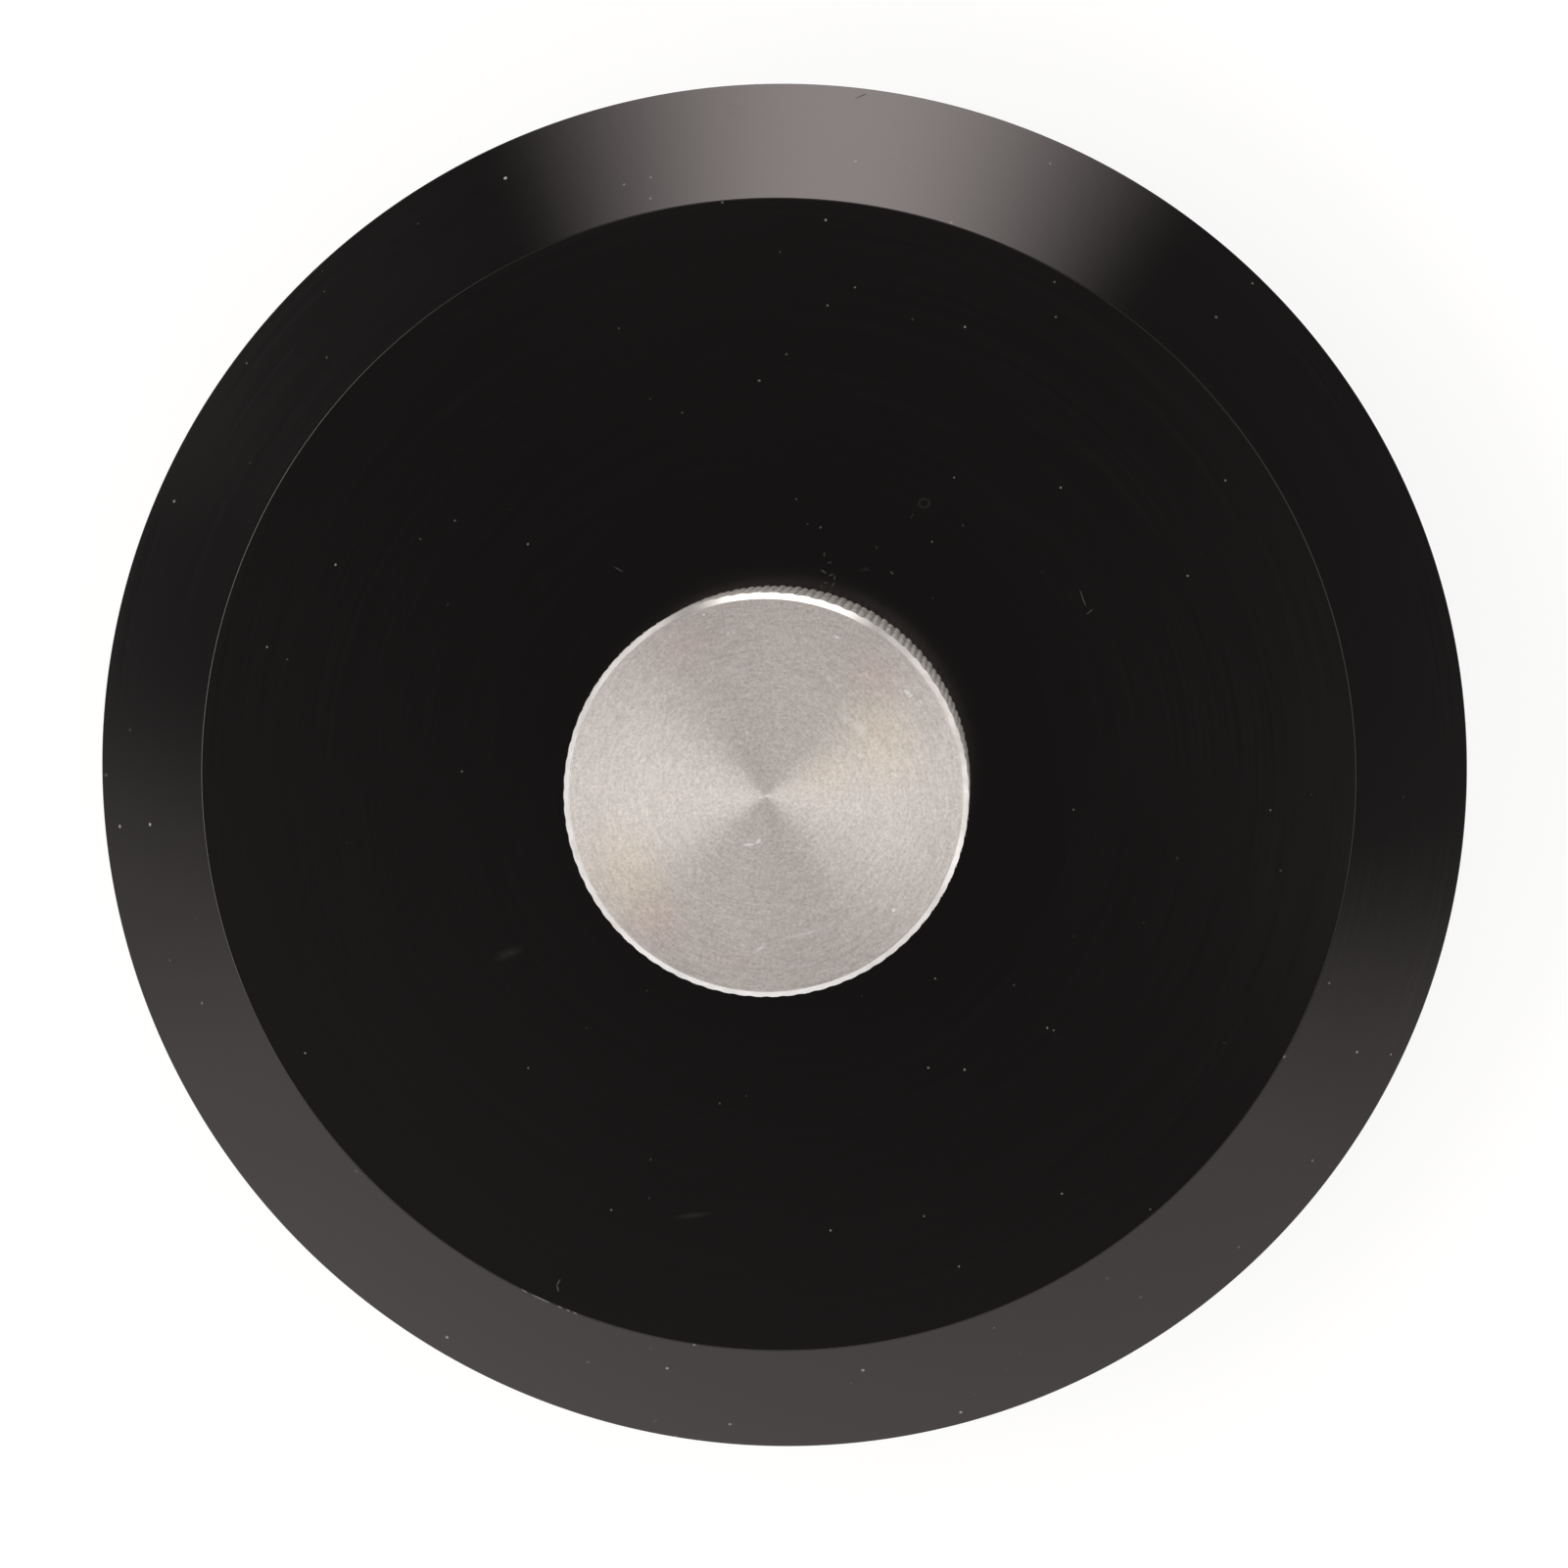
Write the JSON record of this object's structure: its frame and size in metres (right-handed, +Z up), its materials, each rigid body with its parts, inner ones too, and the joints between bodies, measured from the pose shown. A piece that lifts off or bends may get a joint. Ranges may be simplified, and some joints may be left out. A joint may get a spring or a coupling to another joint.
{
  "type": "record weight",
  "caption": "Round record weight: black anodised disc with a wide bevel, bright diamond-knurled grip knob, spindle bore and a rubber ring underneath.",
  "frame": {"origin": "middle of the plane that the weight rests on, on the spindle's axis", "axes": "+Z up the spindle's axis, towards the knob; X and Y are free, because the weight is round"},
  "size_m": [0.082, 0.082, 0.0361],
  "materials": {
    "black_anodised": "turned and black anodised, satin",
    "bright_turned": "bare, fine turned face and diamond-knurled side",
    "black_rubber": "matt"
  },
  "bodies": {
    "root": {"weight_body": "black_anodised", "grip_knob": "bright_turned", "underside_pad": "black_rubber"}
  },
  "joints": []
}
